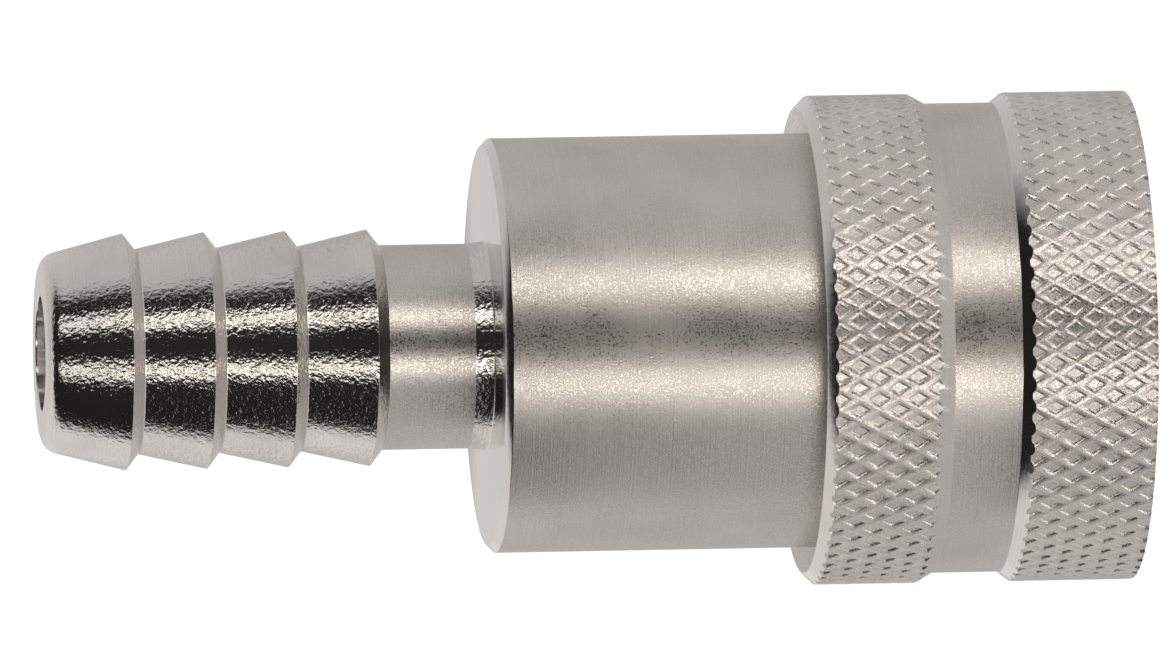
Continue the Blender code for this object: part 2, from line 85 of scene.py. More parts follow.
def mixed(tree, first, second, share):
    """A weighted sum of two values: share of the second, and the rest of the first."""
    rest = calc(tree, "MULTIPLY", first, 1.0 - share)
    return calc(tree, "ADD", rest, calc(tree, "MULTIPLY", second, share))


def grain(tree, where, size, detail=2.0, dimensions="3D"):
    """Noise whose spots are about size metres across."""
    inputs = {"Scale": 1.0 / size, "Detail": detail, "Roughness": 0.55}
    inputs["W" if dimensions == "1D" else "Vector"] = where
    made = add_node(tree, "ShaderNodeTexNoise", inputs, noise_dimensions=dimensions)
    return made.outputs["Fac"]


def tint(tree, factor, first, second):
    """A colour between two."""
    made = add_node(tree, "ShaderNodeMix", {"Factor": factor}, data_type="RGBA")
    made.inputs["A"].default_value = (*first, 1.0)
    made.inputs["B"].default_value = (*second, 1.0)
    return made.outputs["Result"]


def bump(tree, height, depth, under=None):
    """A bump of a real depth in metres, on top of another one."""
    inputs = {"Height": height, "Distance": depth, "Strength": 1.0}
    if under is not None:
        inputs["Normal"] = under
    return add_node(tree, "ShaderNodeBump", inputs).outputs["Normal"]


def new_material(name):
    """A material, its node tree, its shader and its place on the object."""
    made = bpy.data.materials.new(name)
    made.use_nodes = True
    tree = made.node_tree
    place = add_node(tree, "ShaderNodeTexCoord").outputs["Object"]
    return made, tree, tree.nodes["Principled BSDF"], place


def metal(name, light, dark, roughness, lines, peel, frost):
    """Turned metal. lines, peel and frost are (size, depth) of its turning marks round X, of the
    gentle unevenness of its polish and of its blasted grain, in metres."""
    made, tree, shader, place = new_material(name)
    along = add_node(tree, "ShaderNodeSeparateXYZ", {0: place}).outputs["X"]
    cloud = grain(tree, place, 4.5 * mm, 3.0)
    ridge = grain(tree, along, lines[0], 2.0, "1D")
    fine = grain(tree, place, frost[0], 2.0)
    stain = mixed(tree, cloud, ridge, 0.3)
    tree.links.new(tint(tree, span(tree, stain, 0.35, 0.65), dark, light), shader.inputs["Base Color"])
    shader.inputs["Metallic"].default_value = 1.0
    uneven = mixed(tree, cloud, fine, 0.75)
    tree.links.new(span(tree, uneven, 0.40, 0.60, *roughness), shader.inputs["Roughness"])
    surface = bump(tree, ridge, lines[1])
    surface = bump(tree, grain(tree, place, peel[0], 1.0), peel[1], surface)
    surface = bump(tree, fine, frost[1], surface)
    tree.links.new(surface, shader.inputs["Normal"])
    return made


nickel_light = (0.73, 0.705, 0.68)
nickel_dark = (0.62, 0.595, 0.57)
polished = metal("polished nickel", nickel_light, nickel_dark, (0.06, 0.14),
                 (0.10 * mm, 0.0008 * mm), (0.30 * mm, 0.032 * mm), (0.11 * mm, 0.012 * mm))
faced = metal("faced nickel", nickel_light, nickel_dark, (0.08, 0.16),
              (0.10 * mm, 0.0008 * mm), (0.60 * mm, 0.004 * mm), (0.12 * mm, 0.001 * mm))
satin = metal("satin nickel", nickel_light, nickel_dark, (0.24, 0.44),
              (0.12 * mm, 0.008 * mm), (0.50 * mm, 0.008 * mm), (0.10 * mm, 0.013 * mm))


def rounded(corners):
    """A closed outline of points from corners (x, radius, rounding, slot): each corner is rounded
    off, and the edge after it takes the material slot."""
    points, slots = [], []
    count = len(corners)
    for i, (x, r, rounding, slot) in enumerate(corners):
        here = Vector((x, r))
        to_last = Vector(corners[i - 1][:2]) - here
        to_next = Vector(corners[(i + 1) % count][:2]) - here
        turn = to_last.angle(to_next)
        reach = rounding / math.tan(turn / 2)
        reach = min(reach, 0.48 * to_last.length, 0.48 * to_next.length)
        if reach < 0.004 * mm:
            points.append((x, r))
            slots.append(slot)
            continue
        start = here + to_last.normalized() * reach
        end = here + to_next.normalized() * reach
        steps = max(2, round(math.degrees(math.pi - turn) / 14))
        for step in range(steps + 1):
            t = step / steps
            bent = start.lerp(here, t).lerp(here.lerp(end, t), t)
            points.append((bent.x, bent.y))
            slots.append(slot if step == steps else corners[i - 1][3] if t < 0.5 else slot)
    return points, slots


def finished(name, bm, materials):
    """Makes an object of a closed shape, with its faces outwards and its materials in order."""
    bmesh.ops.recalc_face_normals(bm, faces=bm.faces)
    if bm.calc_volume(signed=True) < 0.0:
        bmesh.ops.reverse_faces(bm, faces=bm.faces)
    for face in bm.faces:
        face.smooth = True
    mesh = bpy.data.meshes.new(name)
    bm.to_mesh(mesh)
    bm.free()
    for material in materials:
        mesh.materials.append(material)
    mesh.set_sharp_from_angle(angle=math.radians(50))
    made = bpy.data.objects.new(name, mesh)
    bpy.context.scene.collection.objects.link(made)
    return made


def turned(name, corners, materials, segments=144, closed=True):
    """Turns corners about the X axis. With closed False the outline begins and ends on the axis."""
    points, slots = rounded(corners)
    bm = bmesh.new()
    rings = []
    for x, r in points:
        if r < 1e-6:
            rings.append([bm.verts.new((x, 0.0, 0.0))] * segments)
            continue
        ring = []
        for i in range(segments):
            angle = math.tau * (i + 0.5) / segments
            ring.append(bm.verts.new((x, r * math.cos(angle), r * math.sin(angle))))
        rings.append(ring)
    last = len(rings) if closed else len(rings) - 1
    for j in range(last):
        ring, after = rings[j], rings[(j + 1) % len(rings)]
        for i in range(segments):
            k = (i + 1) % segments
            around = []
            for corner in (ring[i], ring[k], after[k], after[i]):
                if corner not in around:
                    around.append(corner)
            bm.faces.new(around).material_index = slots[j]
    return finished(name, bm, materials)


def stand_for(piece, body, slot, *nodes):
    """The piece rides on a body and is shown in place of CAD nodes. The slot is not used."""
    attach(piece, body)
    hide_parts(*nodes)


body_r = 12.7 * mm
neck_r = 6.275 * mm
neck_flare = 0.15 * mm
flare_length = 1.15 * mm
barb_r = 7.25 * mm
barb_count = 4
barb_pitch = 5.0 * mm
barb_back = 0.76 * mm
first_barb = tip + 5.1 * mm
tip_r = 5.93 * mm
tip_rounding = 1.2 * mm
tail_bore_r = 3.525 * mm
body_rear = tip + 27.3 * mm
rear_chamfer = 0.45 * mm
spigot_bore_r = 8.9 * mm
seal_pocket_r = 10.0 * mm
seal_pocket_back = barrel_front - 1.4 * mm
guide_shoulder = mouth - 32.3 * mm
guide_shoulder_r = 7.2 * mm
funnel_length = 6.0 * mm
tail = [(tip, tail_bore_r, 0.10 * mm, 0), (tip, tip_r, tip_rounding, 0)]
for barb in range(barb_count):
    edge = first_barb + barb * barb_pitch
    tail.append((edge, barb_r, 0.05 * mm, 0))
    tail.append((edge + barb_back, neck_r, 0.12 * mm, 0 if barb < barb_count - 1 else 1))
barrel = turned("barrel_turned", tail + [
    (body_rear - flare_length, neck_r, 0.10 * mm, 0),
    (body_rear, neck_r + neck_flare, 0.10 * mm, 2),
    (body_rear, body_r - rear_chamfer, 0.05 * mm, 2),
    (body_rear + rear_chamfer, body_r, 0.08 * mm, 1),
    (barrel_front, body_r, 0.15 * mm, 1),
    (barrel_front, seal_pocket_r, 0.05 * mm, 1),
    (seal_pocket_back, seal_pocket_r, 0.1 * mm, 1),
    (seal_pocket_back, spigot_bore_r, 0.05 * mm, 1),
    (guide_shoulder, spigot_bore_r, 0.1 * mm, 1),
    (guide_shoulder, guide_shoulder_r, 0.1 * mm, 1),
    (guide_shoulder - funnel_length, tail_bore_r, 0.5 * mm, 2),
], [polished, satin, faced])
stand_for(barrel, "socket", "nickel_plate", "barrel")

# Valve guide: a three-armed spider sawn and turned from brass. Its rim is clamped between the nose's
# spigot and the barrel's shoulder, and the poppet's rod slides in its hub.
brass = metal("bare brass", (0.83, 0.63, 0.33), (0.66, 0.46, 0.21), (0.16, 0.38),
              (0.10 * mm, 0.003 * mm), (0.50 * mm, 0.005 * mm), (0.11 * mm, 0.002 * mm))
guide_front = mouth - 30.6 * mm
guide_back = mouth - 32.1 * mm
hub_front = mouth - 29.55 * mm
hub_r = 3.4 * mm
hub_bore_r = 2.25 * mm
rim_r = 8.6 * mm
rim_inner_r = 7.3 * mm
window_corner = 0.5 * mm
window_over = 0.3 * mm
arm_width = 2.2 * mm
guide_arms = 3
spider = turned("guide_blank", [
    (guide_front, hub_r, 0.15 * mm, 0),
    (guide_front, rim_r, 0.12 * mm, 0),
    (guide_back, rim_r, 0.12 * mm, 0),
    (guide_back, hub_bore_r, 0.12 * mm, 0),
    (hub_front, hub_bore_r, 0.12 * mm, 0),
    (hub_front, hub_r, 0.12 * mm, 0),
], [brass], segments=96)


def prism(name, outline, low, high):
    """A closed block along X from an outline of (y, z) corners."""
    bm = bmesh.new()
    loops = []
    for x in (low, high):
        loops.append([bm.verts.new((x, y, z)) for y, z in rounded(outline)[0]])
    count = len(loops[0])
    for i in range(count):
        k = (i + 1) % count
        bm.faces.new((loops[0][i], loops[0][k], loops[1][k], loops[1][i]))
    bm.faces.new(loops[0])
    bm.faces.new(loops[1])
    return finished(name, bm, [])


window = []
arc_steps = 8
for radius, way in ((hub_r, 1.0), (rim_inner_r, -1.0)):
    half = math.pi / guide_arms - math.asin(arm_width / 2 / radius)
    for i in range(arc_steps + 1):
        angle = way * half * (1.0 - 2 * i / arc_steps)
        corner = window_corner if i in (0, arc_steps) else 0.0
        window.append((radius * math.cos(angle), radius * math.sin(angle), corner, 0))
window_block = prism("guide_window", window, guide_back - window_over, guide_front + window_over)


def grow_tree(name, **inputs):
    """A new geometry node tree with named inputs, and the sockets that bring them in."""
    tree = bpy.data.node_groups.new(name, "GeometryNodeTree")
    tree.interface.new_socket("Geometry", in_out="INPUT", socket_type="NodeSocketGeometry")
    for label, kind in inputs.items():
        tree.interface.new_socket(label.replace("_", " "), in_out="INPUT",
                                  socket_type="NodeSocket" + kind)
    tree.interface.new_socket("Geometry", in_out="OUTPUT", socket_type="NodeSocketGeometry")
    return tree, add_node(tree, "NodeGroupInput").outputs


def grow_end(tree, shape, material, chosen=True):
    """Ends a shape: smooth shading, copies made real, and a material on the chosen faces."""
    shape = add_node(tree, "GeometryNodeSetShadeSmooth", {0: shape, "Shade Smooth": True}).outputs[0]
    shape = add_node(tree, "GeometryNodeRealizeInstances", {0: shape}).outputs[0]
    return add_node(tree, "GeometryNodeSetMaterial", {
        0: shape, "Selection": chosen, "Material": material}).outputs[0]


def pressed(tree, shape, cutters):
    """Cuts a closed shape out of another one."""
    cut = add_node(tree, "GeometryNodeMeshBoolean", {"Mesh 1": shape, "Mesh 2": cutters},
                   operation="DIFFERENCE", solver="MANIFOLD")
    return cut.outputs["Mesh"]


def round_cut_tree():
    """Geometry nodes that cut copies of a cutter out of a piece, evenly round the X axis."""
    tree, given = grow_tree("cuts round an axis", Cutter="Object", Count="Int", First_Angle="Float",
                            Material="Material")
    points = add_node(tree, "GeometryNodePoints", {"Count": given["Count"]}).outputs[0]
    index = add_node(tree, "GeometryNodeInputIndex").outputs[0]
    step = calc(tree, "DIVIDE", math.tau, given["Count"])
    angle = calc(tree, "ADD", given["First Angle"], calc(tree, "MULTIPLY", index, step))
    spin = add_node(tree, "ShaderNodeCombineXYZ", {"X": angle}).outputs[0]
    cutter = add_node(tree, "GeometryNodeObjectInfo", {"Object": given["Cutter"]}).outputs["Geometry"]
    copies = add_node(tree, "GeometryNodeInstanceOnPoints", {
        "Points": points, "Instance": cutter, "Rotation": spin}).outputs[0]
    cut = pressed(tree, given["Geometry"], grow_end(tree, copies, given["Material"]))
    shape = grow_end(tree, cut, given["Material"])
    tree.links.new(shape, add_node(tree, "NodeGroupOutput").inputs[0])
    return tree


hair = 0.001 * mm


def grown(piece, tree, values, name):
    """Runs a node tree on an object, keeps the result as a plain mesh and removes the source."""
    modifier = piece.modifiers.new(tree.name, "NODES")
    modifier.node_group = tree
    for item in tree.interface.items_tree:
        if item.in_out == "INPUT" and item.name in values:
            modifier[item.identifier] = values[item.name]
    bpy.context.view_layer.update()
    shown = piece.evaluated_get(bpy.context.evaluated_depsgraph_get())
    mesh = bpy.data.meshes.new_from_object(shown)
    mesh.name = name
    # cuts leave pairs of corners a hair apart, which would become faces without area
    joined = bmesh.new()
    joined.from_mesh(mesh)
    bmesh.ops.remove_doubles(joined, verts=joined.verts, dist=hair)
    joined.to_mesh(mesh)
    joined.free()
    mesh.set_sharp_from_angle(angle=math.radians(38))
    made = bpy.data.objects.new(name, mesh)
    bpy.context.scene.collection.objects.link(made)
    bpy.data.objects.remove(piece)
    return made


round_cuts = round_cut_tree()
guide = grown(spider, round_cuts, {
    "Cutter": window_block, "Count": guide_arms, "First Angle": math.pi / 2, "Material": brass,
}, "guide_spider")
bpy.data.objects.remove(window_block)
stand_for(guide, "socket", "bare_brass", "valve_guide")

# Poppet spring: stainless wire wound between the poppet's head and the guide, with its end turns
# closed. It shortens as the poppet is pushed back.
spring_steel, tree, shader, place = new_material("drawn spring steel")
along = add_node(tree, "ShaderNodeAttribute", attribute_name="wire along").outputs["Fac"]
section = add_node(tree, "ShaderNodeAttribute", attribute_name="wire section").outputs["Vector"]
across = add_node(tree, "ShaderNodeSeparateXYZ", {0: section}).outputs
streak_stretch = 50.0
streak_place = add_node(tree, "ShaderNodeCombineXYZ", {
    "X": calc(tree, "DIVIDE", along, streak_stretch), "Y": across["X"], "Z": across["Y"]}).outputs[0]
streak = grain(tree, streak_place, 0.06 * mm)
haze = grain(tree, place, 1.5 * mm, 3.0)
tree.links.new(tint(tree, span(tree, mixed(tree, haze, streak, 0.5), 0.35, 0.65),
                    (0.40, 0.39, 0.38), (0.60, 0.59, 0.575)), shader.inputs["Base Color"])
shader.inputs["Metallic"].default_value = 1.0
tree.links.new(span(tree, streak, 0.35, 0.65, 0.20, 0.36), shader.inputs["Roughness"])
tree.links.new(bump(tree, streak, 0.002 * mm), shader.inputs["Normal"])


def wound(tree, count, turn, x, radius, profile, material):
    """Sweeps a profile round the X axis. Each point's length along the wire and its place in the
    section are kept as attributes for the material."""
    line = add_node(tree, "GeometryNodeMeshLine", {"Count": count}).outputs["Mesh"]
    line = add_node(tree, "GeometryNodeMeshToCurve", {0: line}).outputs[0]
    angle = calc(tree, "MULTIPLY", turn, math.tau)
    place = add_node(tree, "ShaderNodeCombineXYZ", {
        "X": x,
        "Y": calc(tree, "MULTIPLY", radius, calc(tree, "COSINE", angle)),
        "Z": calc(tree, "MULTIPLY", radius, calc(tree, "SINE", angle)),
    }).outputs[0]
    path = add_node(tree, "GeometryNodeSetPosition", {"Geometry": line, "Position": place}).outputs[0]
    path = add_node(tree, "GeometryNodeStoreNamedAttribute", {
        "Geometry": path, "Name": "wire along", "Value": calc(tree, "MULTIPLY", angle, radius),
    }, data_type="FLOAT").outputs[0]
    where = add_node(tree, "GeometryNodeInputPosition").outputs[0]
    profile = add_node(tree, "GeometryNodeStoreNamedAttribute", {
        "Geometry": profile, "Name": "wire section"}, data_type="FLOAT_VECTOR")
    tree.links.new(where, profile.inputs["Value"])
    swept = add_node(tree, "GeometryNodeCurveToMesh", {
        "Curve": path, "Profile Curve": profile.outputs[0], "Fill Caps": True}).outputs[0]
    tree.links.new(grow_end(tree, swept, material), add_node(tree, "NodeGroupOutput").inputs[0])


def spring_tree():
    """Geometry nodes that wind a compression spring between two places on the X axis."""
    tree, given = grow_tree("compression spring", Front="Float", Back="Float", Mean_Radius="Float",
                            Wire="Float", Turns="Float", Coil_Gap="Float", Material="Material")
    closed = 0.75
    points_a_turn = 56.0
    total = given["Turns"]
    count = calc(tree, "ADD", calc(tree, "MULTIPLY", total, points_a_turn), 1.0)
    index = add_node(tree, "GeometryNodeInputIndex").outputs[0]
    turn = calc(tree, "DIVIDE", index, points_a_turn)
    open_turns = calc(tree, "SUBTRACT", total, 2 * closed)
    closed_pitch = calc(tree, "ADD", given["Wire"], given["Coil Gap"])
    length = calc(tree, "SUBTRACT", calc(tree, "SUBTRACT", given["Front"], given["Back"]), given["Wire"])
    left = calc(tree, "SUBTRACT", length, calc(tree, "MULTIPLY", closed_pitch, 2 * closed))
    open_pitch = calc(tree, "DIVIDE", left, open_turns)
    opened = span(tree, turn, closed, calc(tree, "SUBTRACT", total, closed), 0.0, open_turns)
    shut = calc(tree, "SUBTRACT", turn, opened)
    run = calc(tree, "ADD", calc(tree, "MULTIPLY", opened, open_pitch),
               calc(tree, "MULTIPLY", shut, closed_pitch))
    start = calc(tree, "SUBTRACT", given["Front"], calc(tree, "MULTIPLY", given["Wire"], 0.5))
    wire = add_node(tree, "GeometryNodeCurvePrimitiveCircle", {
        "Resolution": 12, "Radius": calc(tree, "MULTIPLY", given["Wire"], 0.5)}).outputs["Curve"]
    x = calc(tree, "SUBTRACT", start, run)
    wound(tree, count, turn, x, given["Mean Radius"], wire, given["Material"])
    return tree


def bare_object(name):
    """An empty mesh object for a node tree to fill."""
    made = bpy.data.objects.new(name, bpy.data.meshes.new(name))
    bpy.context.scene.collection.objects.link(made)
    return made


def spring(name, front, back, mean_r, wire, turns):
    """A spring wound between a front and a back place on the X axis, riding on the socket."""
    made = grown(bare_object(name), coil, {
        "Front": front, "Back": back, "Mean Radius": mean_r, "Wire": wire, "Turns": turns,
        "Coil Gap": 0.1 * mm, "Material": spring_steel}, name + "_wire")
    stand_for(made, "socket", "spring_steel", name)
    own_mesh(made)


coil = spring_tree()
spring("poppet_spring", mouth - 18.125 * mm, mouth - 30.5 * mm, 4.35 * mm, 0.7 * mm, 7.0)

# Poppet and its seal: a brass valve turned with its rod in one piece, and a nitrile ring whose
# sloping face closes on the nose's seat. The plug's own poppet pushes on its polished tip.
button_front = mouth - 12.05 * mm
button_r = 4.5 * mm
land_front = mouth - 14.525 * mm
button_root = land_front + 0.775 * mm
front_land_r = 6.05 * mm
seal_groove_front = mouth - 15.175 * mm
seal_groove_back = mouth - 16.575 * mm
seal_groove_r = 5.0 * mm
head_back = mouth - 18.025 * mm
head_r = 6.9 * mm
boss_back = head_back - 1.05 * mm
boss_r = 3.8 * mm
rod_back = mouth - 32.3 * mm
rod_r = 2.0 * mm
poppet = turned("poppet_valve", [
    (button_front, 0.0, 0.0, 0),
    (button_front, button_r, 0.9 * mm, 0),
    (button_root, button_r, 0.5 * mm, 0),
    (land_front, front_land_r, 0.15 * mm, 0),
    (seal_groove_front, front_land_r, 0.05 * mm, 0),
    (seal_groove_front, seal_groove_r, 0.05 * mm, 0),
    (seal_groove_back, seal_groove_r, 0.05 * mm, 0),
    (seal_groove_back, head_r, 0.12 * mm, 0),
    (head_back, head_r, 0.15 * mm, 0),
    (head_back, boss_r, 0.1 * mm, 0),
    (boss_back, boss_r, 0.15 * mm, 0),
    (boss_back, rod_r, 0.2 * mm, 0),
    (rod_back, rod_r, 0.2 * mm, 0),
    (rod_back, 0.0, 0.0, 0),
], [brass], segments=96, closed=False)
stand_for(poppet, "valve", "bare_brass", "poppet")

nitrile, tree, shader, place = new_material("nitrile rubber")
dust = grain(tree, place, 0.8 * mm, 3.0)
pores = grain(tree, place, 0.06 * mm)
tree.links.new(tint(tree, span(tree, dust, 0.40, 0.70), (0.016, 0.016, 0.017), (0.045, 0.044, 0.042)),
               shader.inputs["Base Color"])
tree.links.new(span(tree, mixed(tree, dust, pores, 0.5), 0.35, 0.65, 0.42, 0.68),
               shader.inputs["Roughness"])
tree.links.new(bump(tree, pores, 0.004 * mm), shader.inputs["Normal"])
seal_front = mouth - 15.325 * mm
seal_back = mouth - 16.425 * mm
seal_slope = 0.85 * mm
seal_inner_r = 5.15 * mm
poppet_seal = turned("poppet_seal_ring", [
    (seal_front, seal_inner_r, 0.1 * mm, 0),
    (seal_front, front_land_r, 0.15 * mm, 0),
    (seal_front - seal_slope, head_r, 0.2 * mm, 0),
    (seal_back, head_r, 0.1 * mm, 0),
    (seal_back, seal_inner_r, 0.1 * mm, 0),
], [nitrile], segments=96)
stand_for(poppet_seal, "valve", "nitrile_rubber", "poppet_seal")

# Nose: turned from brass, bored for the plug and nickel plated, then screwed into the barrel on an
# O-ring. Eight tapered holes keep the balls from falling into the bore.
nose_r = 10.3 * mm
bore_r = 8.1 * mm
throat_r = 6.4 * mm
chamber_r = 7.6 * mm
spigot_r = 8.6 * mm
ball_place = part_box("locking_ball_1")
ball_x = (ball_place[0].x + ball_place[1].x) / 2
ball_count = 8
nose_front = mouth - 0.5 * mm
lead_in = 0.8 * mm
ring_groove_front = mouth - 4.0 * mm
ring_groove_back = mouth - 5.1 * mm
ring_groove_r = nose_r - 0.9 * mm
nose_back = mouth - 18.0 * mm
spigot_back = mouth - 30.4 * mm
seat_back = mouth - 16.45 * mm
seat_front = mouth - 15.25 * mm
bore_back = mouth - 14.45 * mm
o_ring_groove_back = mouth - 13.25 * mm
o_ring_groove_front = mouth - 10.4 * mm
o_ring_groove_r = bore_r + 1.2 * mm
nose_blank = turned("nose_blank", [
    (nose_front, bore_r + lead_in, 0.08 * mm, 0),
    (nose_front, nose_r, 0.15 * mm, 0),
    (ring_groove_front, nose_r, 0.05 * mm, 0),
    (ring_groove_front, ring_groove_r, 0.08 * mm, 0),
    (ring_groove_back, ring_groove_r, 0.08 * mm, 0),
    (ring_groove_back, nose_r, 0.05 * mm, 0),
    (nose_back, nose_r, 0.1 * mm, 0),
    (nose_back, spigot_r, 0.1 * mm, 0),
    (spigot_back, spigot_r, 0.2 * mm, 0),
    (spigot_back, chamber_r, 0.1 * mm, 0),
    (seat_back, chamber_r, 0.1 * mm, 0),
    (seat_front, throat_r, 0.08 * mm, 0),
    (bore_back, throat_r, 0.1 * mm, 0),
    (bore_back, bore_r, 0.1 * mm, 0),
    (o_ring_groove_back, bore_r, 0.08 * mm, 0),
    (o_ring_groove_back, o_ring_groove_r, 0.1 * mm, 0),
    (o_ring_groove_front, o_ring_groove_r, 0.1 * mm, 0),
    (o_ring_groove_front, bore_r, 0.08 * mm, 0),
    (nose_front - lead_in, bore_r, 0.2 * mm, 0),
], [faced])
# the drill tapers towards the bore and leaves a chamfer at the nose's surface
drill_rings = [(bore_r - 0.5 * mm, 1.668 * mm), (nose_r - 0.15 * mm, 1.934 * mm),
               (nose_r + 0.35 * mm, 2.43 * mm)]
drill_sides = 40
bm = bmesh.new()
loops = []
for height, radius in drill_rings:
    loop = []
    for i in range(drill_sides):
        angle = math.tau * i / drill_sides
        loop.append(bm.verts.new((ball_x + radius * math.cos(angle), height, radius * math.sin(angle))))
    loops.append(loop)
for loop, after in zip(loops, loops[1:]):
    for i in range(drill_sides):
        k = (i + 1) % drill_sides
        bm.faces.new((loop[i], loop[k], after[k], after[i]))
bm.faces.new(loops[0])
bm.faces.new(loops[-1])
ball_drill = finished("ball_drill", bm, [])
nose = grown(nose_blank, round_cuts, {
    "Cutter": ball_drill, "Count": ball_count, "First Angle": math.pi / ball_count, "Material": faced,
}, "nose_turned")
bpy.data.objects.remove(ball_drill)
stand_for(nose, "socket", "nickel_plate", "socket_nose")


def o_ring(name, x, mean_r, section_r, node):
    """A moulded rubber ring of round section."""
    corners = []
    sides = 24
    for i in range(sides):
        angle = math.tau * i / sides
        corners.append((x + section_r * math.cos(angle), mean_r + section_r * math.sin(angle), 0.0, 0))
    stand_for(turned(name, corners, [nitrile], segments=120), "socket", "nitrile_rubber", node)


o_ring("joint_o_ring_moulded", mouth - 18.9 * mm, 9.3 * mm, 0.5 * mm, "joint_o_ring")
o_ring("socket_o_ring_moulded", mouth - 11.4 * mm, 8.3 * mm, 0.85 * mm, "socket_seal")

# Backup ring: white PTFE, turned and snapped in behind the bore's O-ring to keep it from being
# squeezed out of its groove.
ptfe, tree, shader, place = new_material("white ptfe")
along = add_node(tree, "ShaderNodeSeparateXYZ", {0: place}).outputs["X"]
cloud = grain(tree, place, 1.2 * mm, 3.0)
cut_marks = grain(tree, along, 0.05 * mm, 2.0, "1D")
tree.links.new(tint(tree, span(tree, cloud, 0.35, 0.65), (0.74, 0.73, 0.69), (0.85, 0.84, 0.81)),
               shader.inputs["Base Color"])
tree.links.new(span(tree, cut_marks, 0.35, 0.65, 0.32, 0.50), shader.inputs["Roughness"])
tree.links.new(bump(tree, cut_marks, 0.003 * mm), shader.inputs["Normal"])
backup_front = mouth - 12.4 * mm
backup_back = mouth - 13.1 * mm
backup_inner_r = bore_r + 0.15 * mm
backup_outer_r = bore_r + 1.05 * mm
backup = turned("backup_ring_turned", [
    (backup_front, backup_inner_r, 0.08 * mm, 0),
    (backup_front, backup_outer_r, 0.08 * mm, 0),
    (backup_back, backup_outer_r, 0.08 * mm, 0),
    (backup_back, backup_inner_r, 0.08 * mm, 0),
], [ptfe], segments=120)
stand_for(backup, "socket", "white_plastic", "seal_backup_ring")

# Locking balls: hardened stainless steel, ground and lapped. They drop into the nose's holes and
# stand into the bore, where they hold the plug's groove.
ball_steel, tree, shader, place = new_material("lapped ball steel")
haze = grain(tree, place, 0.9 * mm, 3.0)
lap = grain(tree, place, 0.05 * mm)
tree.links.new(tint(tree, span(tree, haze, 0.35, 0.65), (0.62, 0.62, 0.63), (0.74, 0.74, 0.75)),
               shader.inputs["Base Color"])
shader.inputs["Metallic"].default_value = 1.0
tree.links.new(span(tree, mixed(tree, haze, lap, 0.5), 0.35, 0.65, 0.05, 0.13), shader.inputs["Roughness"])
tree.links.new(bump(tree, lap, 0.0003 * mm), shader.inputs["Normal"])
ball_r = 1.75 * mm
ball_place_r = 8.7 * mm
for number in range(1, ball_count + 1):
    angle = math.tau * (number - 0.5) / ball_count
    bm = bmesh.new()
    bmesh.ops.create_icosphere(bm, subdivisions=5, radius=ball_r)
    bmesh.ops.translate(bm, verts=bm.verts, vec=(
        ball_x, ball_place_r * math.cos(angle), ball_place_r * math.sin(angle)))
    ball = finished(f"ball_{number}_lapped", bm, [ball_steel])
    stand_for(ball, f"ball_{number}", "ball_steel", f"locking_ball_{number}")

# Thrust washer and sleeve spring: a flat stamped washer behind the sleeve's land, and a stout wire
# spring that pushes it forwards from the barrel's front face.
washer_steel = metal("stamped washer steel", (0.60, 0.59, 0.575), (0.46, 0.45, 0.44), (0.18, 0.36),
                     (0.08 * mm, 0.002 * mm), (0.40 * mm, 0.004 * mm), (0.09 * mm, 0.003 * mm))
washer_front = mouth - 9.95 * mm
washer_back = mouth - 10.65 * mm
washer_inner_r = 10.55 * mm
washer_outer_r = 12.65 * mm
washer = turned("thrust_washer_stamped", [
    (washer_front, washer_inner_r, 0.12 * mm, 0),
    (washer_front, washer_outer_r, 0.12 * mm, 0),
    (washer_back, washer_outer_r, 0.12 * mm, 0),
    (washer_back, washer_inner_r, 0.12 * mm, 0),
], [washer_steel])
stand_for(washer, "sleeve_carrier", "spring_steel", "thrust_washer")
spring("sleeve_spring", mouth - 10.75 * mm, mouth - 18.1 * mm, 11.6 * mm, 0.8 * mm, 4.5)

# Pull-back sleeve: turned from brass, diamond knurled in two bands, then plated. The groove between
# the bands is turned smooth after knurling, so the knurl runs out in its slopes. Inside are the
# recess for the stop ring, the cone over the balls, the land on the nose and the spring's skirt.
sleeve_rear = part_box("sleeve")[0].x
knurl_r = 15.0 * mm
groove_r = 14.4 * mm
skirt_r = 12.9 * mm
recess_r = 12.1 * mm
land_r = 10.4 * mm
shoulder_r = 11.34 * mm
shoulder = mouth - 5.4 * mm
cone_end = mouth - 8.13 * mm
land_end = mouth - 9.8 * mm
groove_rear = sleeve_rear + 7.85 * mm
groove_front = groove_rear + 4.15 * mm
front_slope = 0.75 * mm
rear_slope = 1.05 * mm
countersink = 1.35 * mm
rear_edge = 0.65 * mm
first_row = sleeve_rear + 0.75 * mm
pits_round = 68
pit_pitch = math.tau * knurl_r / pits_round / math.tan(math.radians(30))
knurl = metal("knurled nickel", (0.85, 0.815, 0.785), (0.70, 0.67, 0.645), (0.24, 0.50),
              (0.15 * mm, 0.0010 * mm), (0.35 * mm, 0.010 * mm), (0.09 * mm, 0.010 * mm))
